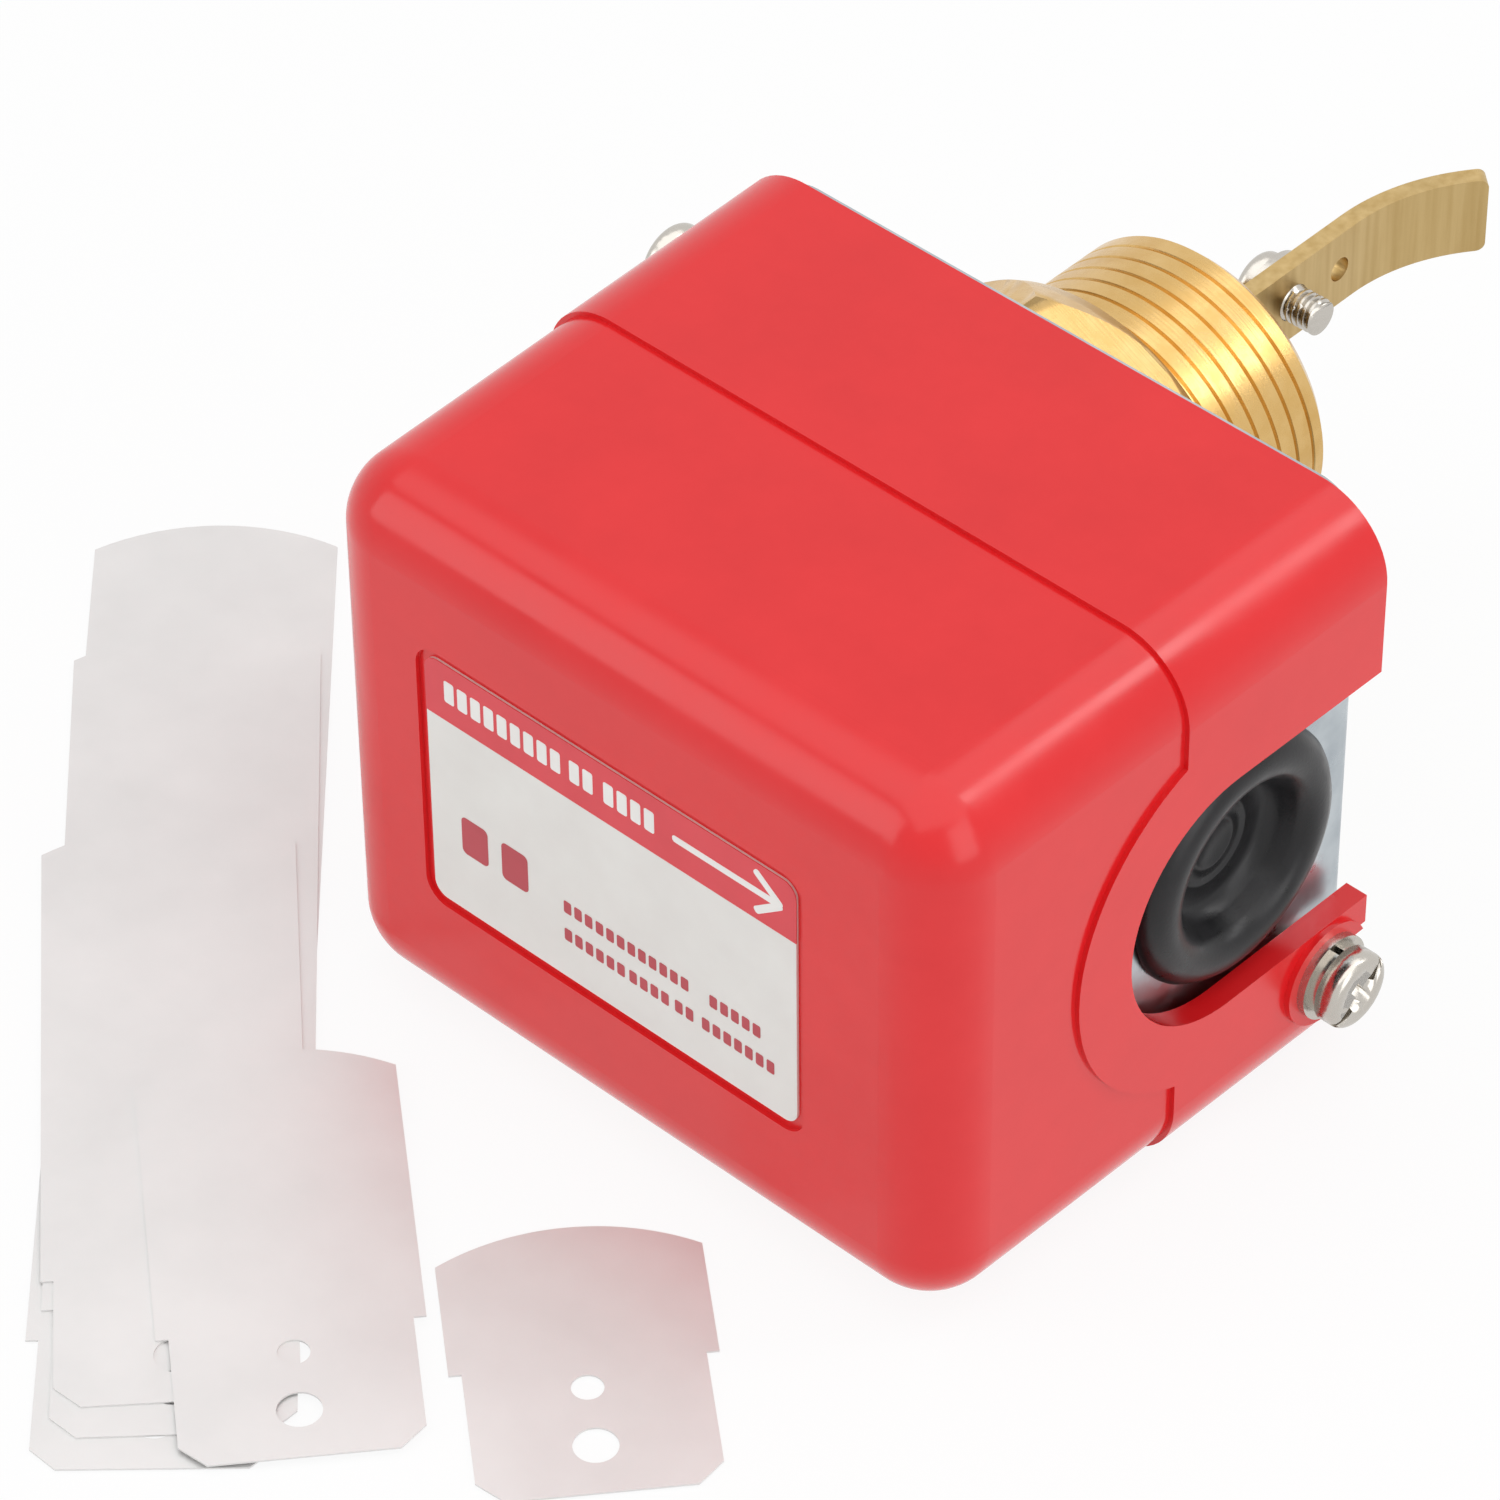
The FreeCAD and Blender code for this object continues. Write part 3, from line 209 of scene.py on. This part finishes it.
finishes = {
    "red": glossRed(), "zinc": zincSheet(), "turnedBrass": turnedBrass(), "brassStrip": rolledBrass(),
    "nickel": plated("nickelPlatedSteel", "C3BEB6", 0.22), "spring": plated("springSteelWire", "9A9894", 0.3),
    "stainless": rolledSteel(), "rubber": softRubber(), "case": mouldedBlack(),
    "plunger": film("acetalPlunger", "B3221F", "A51E1B"), "film": film("labelFilm", "E9E8E4", "E4E2DE"),
    "bandInk": film("labelRedInk", "E0404A", "D93A44"), "whiteInk": film("labelWhiteInk", "F2F1EE", "ECEAE7"),
    "darkInk": film("labelDarkInk", "BE414C", "B53A45"),
}


def finish(piece, name):
    piece.data.materials.clear()
    piece.data.materials.append(finishes[name])
    for face in piece.data.polygons:
        face.material_index = 0


nodeFinish = {
    "cover": "red", "label": "film", "chassis": "zinc", "cable_grommet": "rubber", "body_nut": "turnedBrass",
    "pivot_bush": "turnedBrass", "pivot_pin": "stainless", "lever_bar": "zinc", "lever_ear": "zinc",
    "paddle_arm": "brassStrip", "arm_rivets": "turnedBrass", "bellows": "brassStrip", "paddle_screw_washer": "nickel",
    "range_screw": "nickel", "range_nut": "zinc", "range_spring": "spring", "switch_case": "case",
    "switch_plunger": "plunger", "switch_bracket": "zinc", "switch_screws": "nickel",
    "switch_terminals": "turnedBrass",
    "terminal_screws": "nickel", "foot_screw": "nickel", "earth_screw": "turnedBrass", "flat_washer_right": "nickel",
    "flat_washer_left": "nickel", "spring_washer_right": "nickel", "spring_washer_left": "nickel",
    "cover_nut_right": "zinc", "cover_nut_left": "zinc", "paddle_1": "stainless", "paddle_2": "stainless",
    "paddle_3": "stainless", "paddle_4": "stainless", "paddle_5": "stainless", "thread_body": "turnedBrass",
    "paddle_screw": "nickel", "cover_screw_right": "nickel", "cover_screw_left": "nickel",
}
for nodeName, finishName in nodeFinish.items():
    finish(nodes[nodeName], finishName)
print("finishes on the frame's nodes")


# mesh helpers
def only(piece):
    bpy.ops.object.select_all(action="DESELECT")
    piece.select_set(True)
    bpy.context.view_layer.objects.active = piece


def mergedCopy(nodeName, name):
    piece = nodes[nodeName].copy()
    piece.data = nodes[nodeName].data.copy()
    piece.name = piece.data.name = name
    bpy.context.scene.collection.objects.link(piece)
    piece.parent = None
    piece.matrix_world = Matrix()
    only(piece)
    bpy.ops.object.mode_set(mode="EDIT")
    bpy.ops.mesh.select_all(action="SELECT")
    bpy.ops.mesh.remove_doubles(threshold=0.002 * mm)
    bpy.ops.object.mode_set(mode="OBJECT")
    return piece


def settle(piece):
    only(piece)
    bpy.ops.object.transform_apply(location=True, rotation=True, scale=True)
    return piece


def carve(piece, tool):
    only(piece)
    boolean = piece.modifiers.new("carve", "BOOLEAN")
    boolean.operation = "DIFFERENCE"
    boolean.solver = "MANIFOLD"
    boolean.object = tool
    bpy.ops.object.modifier_apply(modifier="carve")
    bpy.data.objects.remove(tool, do_unlink=True)
    return piece


def smooth(piece, angle=28):
    only(piece)
    bpy.ops.object.shade_smooth_by_angle(angle=radians(angle))
    return piece


def threadTool(name, size, axis, origin):
    # a ring whose inner wall is the thread, crests and grooves; flat, flank and floor are shares of the pitch
    pitch, crest, root = size["pitch"], size["crest"], size["root"]
    start, end, outer = size["start"], size["end"], size["outer"]
    steps = size["steps"]
    shape = [(0.0, crest), (size["flat"], crest), (size["flank"], root), (size["floor"], root)]
    rows = []
    turn = -1
    while turn * pitch < end - start + pitch:
        for share, radius in shape:
            rows.append((start + (turn + share) * pitch, radius))
        turn += 1
    bpy.ops.mesh.primitive_grid_add(x_subdivisions=steps, y_subdivisions=len(rows) + 1, size=1)
    tool = bpy.context.object
    tool.name = name
    across = Vector(axis).to_track_quat("Z", "Y").to_matrix()
    mesh = tool.data
    columns, lines = steps + 1, len(rows) + 2
    for index, vertex in enumerate(mesh.vertices):
        column, line = index % columns, index // columns
        angle = 2 * pi * column / steps
        if line == 0:
            along, radius = start, outer
        elif line == lines - 1:
            along, radius = end, outer
        else:
            along, radius = rows[line - 1]
            along += pitch * angle / (2 * pi)
            if along <= start or along >= end:
                along, radius = min(max(along, start), end), crest
        vertex.co = across @ Vector((radius * cos(angle), radius * sin(angle), along)) + Vector(origin)
    only(tool)
    bpy.ops.object.mode_set(mode="EDIT")
    bpy.ops.mesh.select_all(action="SELECT")
    bpy.ops.mesh.remove_doubles(threshold=0.0005 * mm)
    bpy.ops.mesh.select_all(action="DESELECT")
    bpy.ops.mesh.select_non_manifold()
    bpy.ops.mesh.bridge_edge_loops()
    bpy.ops.mesh.select_all(action="SELECT")
    bpy.ops.mesh.normals_make_consistent(inside=False)
    bpy.ops.object.mode_set(mode="OBJECT")
    return tool


def blockTool(size, at, taper, turn):
    # a box that narrows along -Z, for a driver's recess
    bpy.ops.mesh.primitive_cube_add(size=1)
    tool = bpy.context.object
    for vertex in tool.data.vertices:
        narrow = taper if vertex.co.z < 0 else 1.0
        vertex.co = Vector((vertex.co.x * size[0] * narrow, vertex.co.y * size[1], vertex.co.z * size[2]))
    tool.matrix_world = Matrix.Translation(at) @ turn
    return settle(tool)


pipeThread = {"pitch": 2.309 * mm, "crest": 16.6 * mm, "root": 16.25 * mm, "start": -8.6 * mm, "end": 9.4 * mm,
              "outer": 20.6 * mm, "steps": 144, "flat": 0.8, "flank": 0.89, "floor": 0.92, "smooth": 16}
fitting = mergedCopy("thread_body", "pipeFitting")
carve(fitting, threadTool("threadCut", pipeThread, (0, 1, 0), (0, 0, 0)))
finish(fitting, "turnedBrass")
smooth(fitting, pipeThread["smooth"])
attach(fitting, "base")
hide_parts("thread_body")
print("pipe thread cut")


# machine screws: a driver's recess in the head and a thread on the free end
def driverRecess(piece, at, out, cross, slot, turn):
    face = Vector(out).to_track_quat("Z", "Y").to_matrix().to_4x4()
    crossTaper = 0.55  # width of a cross arm at its foot, as a share of its width at the face
    for size, angle, taper in ((slot, 0, 1.0), (cross, 0, crossTaper), (cross, pi / 2, crossTaper)):
        placed = face @ Matrix.Rotation(turn + angle, 4, "Z")
        carve(piece, blockTool(size, Vector(at), taper, placed))


coverScrew = {
    "slot": (9 * mm, 0.95 * mm, 1.7 * mm), "cross": (4.6 * mm, 1.15 * mm, 3.0 * mm), "y": -31.05 * mm,
    "threadBehindHead": 2.9 * mm,
    "sides": (("right", 1, 54.6 * mm, -20.2 * mm, 35), ("left", -1, -34.6 * mm, 20.2 * mm, 10)),
    "thread": {"pitch": 0.7 * mm, "crest": 2.01 * mm, "root": 1.66 * mm, "start": 0, "end": 11.2 * mm,
               "outer": 3 * mm, "steps": 40, "flat": 0.3, "flank": 0.6, "floor": 0.7},
}
for side, out, headX, z, recessTurn in coverScrew["sides"]:
    screw = mergedCopy("cover_screw_" + side, "coverScrew_" + side)
    at = (headX, coverScrew["y"], z)
    driverRecess(screw, at, (out, 0, 0), coverScrew["cross"], coverScrew["slot"], radians(recessTurn))
    threadAt = (at[0] - out * coverScrew["threadBehindHead"], at[1], at[2])
    carve(screw, threadTool("threadCut", coverScrew["thread"], (-out, 0, 0), threadAt))
    finish(screw, "nickel")
    smooth(screw)
    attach(screw, side + "_screw")
    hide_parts("cover_screw_" + side)

clamp = {
    "head": (-6.3 * mm, 24.2 * mm, 0), "cross": (4.2 * mm, 1.05 * mm, 2.8 * mm),
    "slot": (8 * mm, 0.9 * mm, 1.5 * mm), "recessTurn": 20, "threadAt": (-1.0 * mm, 24.2 * mm, 0),
    "thread": {"pitch": 0.7 * mm, "crest": 1.96 * mm, "root": 1.6 * mm, "start": 0, "end": 3.9 * mm,
               "outer": 3 * mm, "steps": 48, "flat": 0.3, "flank": 0.6, "floor": 0.7},
}
clampScrew = mergedCopy("paddle_screw", "clampScrew")
driverRecess(clampScrew, clamp["head"], (-1, 0, 0), clamp["cross"], clamp["slot"], radians(clamp["recessTurn"]))
carve(clampScrew, threadTool("threadCut", clamp["thread"], (1, 0, 0), clamp["threadAt"]))
finish(clampScrew, "nickel")
smooth(clampScrew)
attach(clampScrew, "clamp_screw")
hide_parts("paddle_screw")
print("screws cut")


# cable grommet: one soft turned moulding with faint rings on its thin floor
grommet = {"at": (46.0, -41.25, -0.4), "steps": 96, "smooth": 50}
grommetProfile = [(0, -1.95), (2.3, -1.95), (2.5, -1.75), (2.9, -1.75), (3.1, -1.95), (4.2, -1.95), (4.4, -1.8),
                  (4.7, -1.8), (4.9, -1.95), (6.6, -1.95), (7.3, -1.6), (7.9, -0.4), (8.35, 1.0), (8.8, 1.9),
                  (9.5, 2.45), (10.4, 2.66), (11.3, 2.6), (12.2, 2.2), (12.9, 1.5), (13.35, 0.8), (13.45, 0.35),
                  (13.2, 0.04), (10.5, 0.04), (10.5, -1.16), (12.4, -1.16), (12.45, -2.5), (12.2, -2.76),
                  (0, -2.76)]


def spun(name, profile, steps, axis, at):
    # the profile starts and ends on the axis; a ring of loose points is laid on it and spun
    bpy.ops.object.select_all(action="DESELECT")
    bpy.ops.mesh.primitive_circle_add(vertices=len(profile), radius=mm)
    piece = bpy.context.object
    piece.name = piece.data.name = name
    for vertex, (radius, height) in zip(piece.data.vertices, profile):
        vertex.co = (radius * mm, 0, height * mm)
    last = len(profile) - 1
    bpy.ops.object.mode_set(mode="EDIT")
    bpy.ops.mesh.select_mode(type="EDGE")
    bpy.ops.mesh.select_all(action="DESELECT")
    bpy.ops.object.mode_set(mode="OBJECT")
    for edge in piece.data.edges:
        edge.select = set(edge.vertices) == {0, last}  # the edge that would lie along the axis
    bpy.ops.object.mode_set(mode="EDIT")
    bpy.ops.mesh.delete(type="EDGE")
    bpy.ops.mesh.select_mode(type="VERT")
    bpy.ops.mesh.select_all(action="SELECT")
    bpy.ops.mesh.spin(steps=steps, angle=2 * pi, center=(0, 0, 0), axis=(0, 0, 1))
    bpy.ops.mesh.select_all(action="SELECT")
    bpy.ops.mesh.remove_doubles(threshold=0.0005 * mm)
    bpy.ops.mesh.normals_make_consistent(inside=False)
    bpy.ops.object.mode_set(mode="OBJECT")
    across = Vector(axis).to_track_quat("Z", "Y").to_matrix().to_4x4()
    piece.matrix_world = Matrix.Translation(Vector(at) * mm) @ across
    return settle(piece)


softGrommet = spun("softGrommet", grommetProfile, grommet["steps"], (1, 0, 0), grommet["at"])
finish(softGrommet, "rubber")
smooth(softGrommet, grommet["smooth"])
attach(softGrommet, "base")
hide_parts("cable_grommet")
print("grommet turned")


# label print: a red band, a plain arrow and bars where a text could stand
labelPrint = {
    "x": (-15.05, 31.45), "top": 15.6, "corner": 1.6, "face": -84.06, "layer": 0.02, "band": 8.7, "bandDepth": 0.1,
    "title": ((-12.6, 9), (3.4, 2), (7.7, 4)), "titleBlock": (1.25, 2.6, 1.7), "titleZ": 12.4,
    "arrow": ((23.0, 12.2, 13.4, 0.8, 0), (28.1, 13.4, 4.2, 0.85, 38), (28.1, 11.0, 4.2, 0.85, -38)),
    "heading": ((-9.4, -4.6, 3.4, 4.6), (-4.2, -4.6, 3.4, 4.6)),
    "lines": ((2.1, -5.4, 3), (6.2, -5.4, 9), (20.6, -5.4, 5), (2.1, -8.9, 6), (10.4, -8.9, 4), (16.2, -8.9, 2),
              (19.6, -8.9, 7)), "lineBlock": (0.95, 1.5, 1.35),
}


def printedBar(name, centre, size, height, finishName, corner=0.3, turned=0, topOnly=False, row=(1, 0)):
    # a thin plate on the label: a cube at its size, its upright corners rounded, repeated along a row
    bpy.ops.object.select_all(action="DESELECT")
    bpy.ops.mesh.primitive_cube_add(size=1, location=(0, 0, 0))
    piece = bpy.context.object
    piece.name = piece.data.name = name
    piece.scale = (size[0] * mm, size[2] * mm, size[1] * mm)
    settle(piece)
    if corner:
        bpy.ops.object.mode_set(mode="EDIT")
        bpy.ops.mesh.select_mode(type="EDGE")
        bpy.ops.mesh.select_all(action="DESELECT")
        bpy.ops.object.mode_set(mode="OBJECT")
        for edge in piece.data.edges:
            one, two = (piece.data.vertices[i].co for i in edge.vertices)
            edge.select = abs(one.y - two.y) > size[2] * mm / 2 and (one.z > 0 or not topOnly)
        bpy.ops.object.mode_set(mode="EDIT")
        bpy.ops.mesh.bevel(offset=corner * mm, segments=5)
        bpy.ops.object.mode_set(mode="OBJECT")
    if row[0] > 1:
        array = piece.modifiers.new("row", "ARRAY")
        array.use_relative_offset, array.use_constant_offset = False, True
        array.count, array.constant_offset_displace = row[0], (row[1] * mm, 0, 0)
        bpy.ops.object.modifier_apply(modifier="row")
    piece.matrix_world = (Matrix.Translation((centre[0] * mm, (height + size[2] / 2) * mm, centre[1] * mm))
                          @ Matrix.Rotation(radians(turned), 4, "Y"))
    finish(piece, finishName)
    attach(piece, "cover")
    return settle(piece)


layer = labelPrint["layer"]
ink = labelPrint["face"] - layer  # front of the first layer of ink
x0, x1 = labelPrint["x"]
zTop = labelPrint["top"] + 0.02
printedBar("labelBand", ((x0 + x1) / 2, (labelPrint["band"] + zTop) / 2),
           (x1 - x0 + 0.04, zTop - labelPrint["band"], labelPrint["bandDepth"]), ink, "bandInk", labelPrint["corner"],
           topOnly=True)
for i, (x, z, length, width, turned) in enumerate(labelPrint["arrow"]):
    printedBar("labelArrow_%d" % i, (x, z), (length, width, layer), ink - layer * (1 + 0.2 * i), "whiteInk",
               width * 0.4, turned)
block = labelPrint["titleBlock"]
for i, (x, count) in enumerate(labelPrint["title"]):
    printedBar("labelTitle_%d" % i, (x + block[0] / 2, labelPrint["titleZ"]), (block[0], block[1], layer),
               ink - layer, "whiteInk", 0.25, row=(count, block[2]))
for i, (x, z, width, height) in enumerate(labelPrint["heading"]):
    printedBar("labelHeading_%d" % i, (x, z), (width, height, layer), ink, "darkInk", 0.6)
block = labelPrint["lineBlock"]
for i, (x, z, count) in enumerate(labelPrint["lines"]):
    printedBar("labelLine_%d" % i, (x + block[0] / 2, z), (block[0], block[1], layer), ink, "darkInk", 0.2,
               row=(count, block[2]))
print("label printed")


# floor, light and camera
studio = {
    "floorZ": -32.4 * mm - 0.0002, "floorWhite": 0.9, "worldLight": 0.42, "middle": (0.01, -0.05, 0.0),
    "boxes": (("topBox", (0.1, -0.1, 1.1), 1.9, 1.7, 9.2), ("frontBox", (-0.5, -0.9, 0.45), 0.7, 0.7, 2.2),
              ("sideBox", (1.0, -0.15, 0.35), 0.6, 0.9, 2.6), ("backBox", (0.5, 0.55, 0.66), 0.16, 0.6, 1.2)),
}
bpy.ops.mesh.primitive_plane_add(size=6, location=(0, 0, studio["floorZ"]))
floor = bpy.context.object
floor.name = "floor"
pale = startMaterial("paleFloor", "F4F4F4", 0.9)
rays = addNode(pale, "LightPath")
seen = addNode(pale, "Math", {"operation": "MAXIMUM"}, {0: rays.outputs["Is Camera Ray"],
                                                        1: rays.outputs["Is Glossy Ray"]})
share = addNode(pale, "Math", {"operation": "MULTIPLY", 1: studio["floorWhite"]}, {0: seen})
white = addNode(pale, "Emission", {"Strength": 1.0})
seenFloor = addNode(pale, "MixShader", {}, {0: share, 1: shader(pale), 2: white})
pale.node_tree.links.new(seenFloor.outputs[0], pale.node_tree.nodes["Material Output"].inputs["Surface"])
floor.data.materials.append(pale)

world = bpy.data.worlds.new("studio")
bpy.context.scene.world = world
world.use_nodes = True
background = world.node_tree.nodes["Background"]
background.inputs["Color"].default_value = (1, 1, 1, 1)
background.inputs["Strength"].default_value = studio["worldLight"]
whiteBackground = addNode(world, "Background", {"Color": (1, 1, 1, 1), "Strength": 1.0})
worldRays = addNode(world, "LightPath")
shown = addNode(world, "Math", {"operation": "MAXIMUM"}, {0: worldRays.outputs["Is Camera Ray"],
                                                          1: worldRays.outputs["Is Glossy Ray"]})
chosen = addNode(world, "MixShader", {}, {0: shown, 1: background, 2: whiteBackground})
world.node_tree.links.new(chosen.outputs[0], world.node_tree.nodes["World Output"].inputs["Surface"])


def softbox(name, at, width, height, power):
    data = bpy.data.lights.new(name, "AREA")
    data.shape = "RECTANGLE"
    data.size, data.size_y = width, height
    data.energy = power
    lamp = bpy.data.objects.new(name, data)
    lamp.location = at
    lamp.rotation_euler = (Vector(at) - Vector(studio["middle"])).to_track_quat("Z", "Y").to_euler()
    bpy.context.scene.collection.objects.link(lamp)


for box in studio["boxes"]:
    softbox(*box)

view = {"azimuth": 43.496, "elevation": 42.304, "roll": -0.626, "distance": 0.69041,
        "target": (0.007485, -0.064507, 0.004260), "lens": 178.875}
az, el = radians(view["azimuth"]), radians(view["elevation"])
back = Vector((sin(az) * cos(el), -cos(az) * cos(el), sin(el)))
right = Vector((cos(az), sin(az), 0))
up = back.cross(right)
roll = radians(view["roll"])
right, up = right * cos(roll) + up * sin(roll), up * cos(roll) - right * sin(roll)
turn = Matrix((right, up, back)).transposed().to_4x4()
cameraData = bpy.data.cameras.new("camera")
cameraData.sensor_width = 36
cameraData.lens = view["lens"]
cameraData.clip_start, cameraData.clip_end = 0.01, 20
camera = bpy.data.objects.new("camera", cameraData)
camera.matrix_world = Matrix.Translation(Vector(view["target"]) + back * view["distance"]) @ turn
bpy.context.scene.collection.objects.link(camera)
bpy.context.scene.camera = camera
bpy.context.scene.view_settings.view_transform = "Standard"

print("scene done")
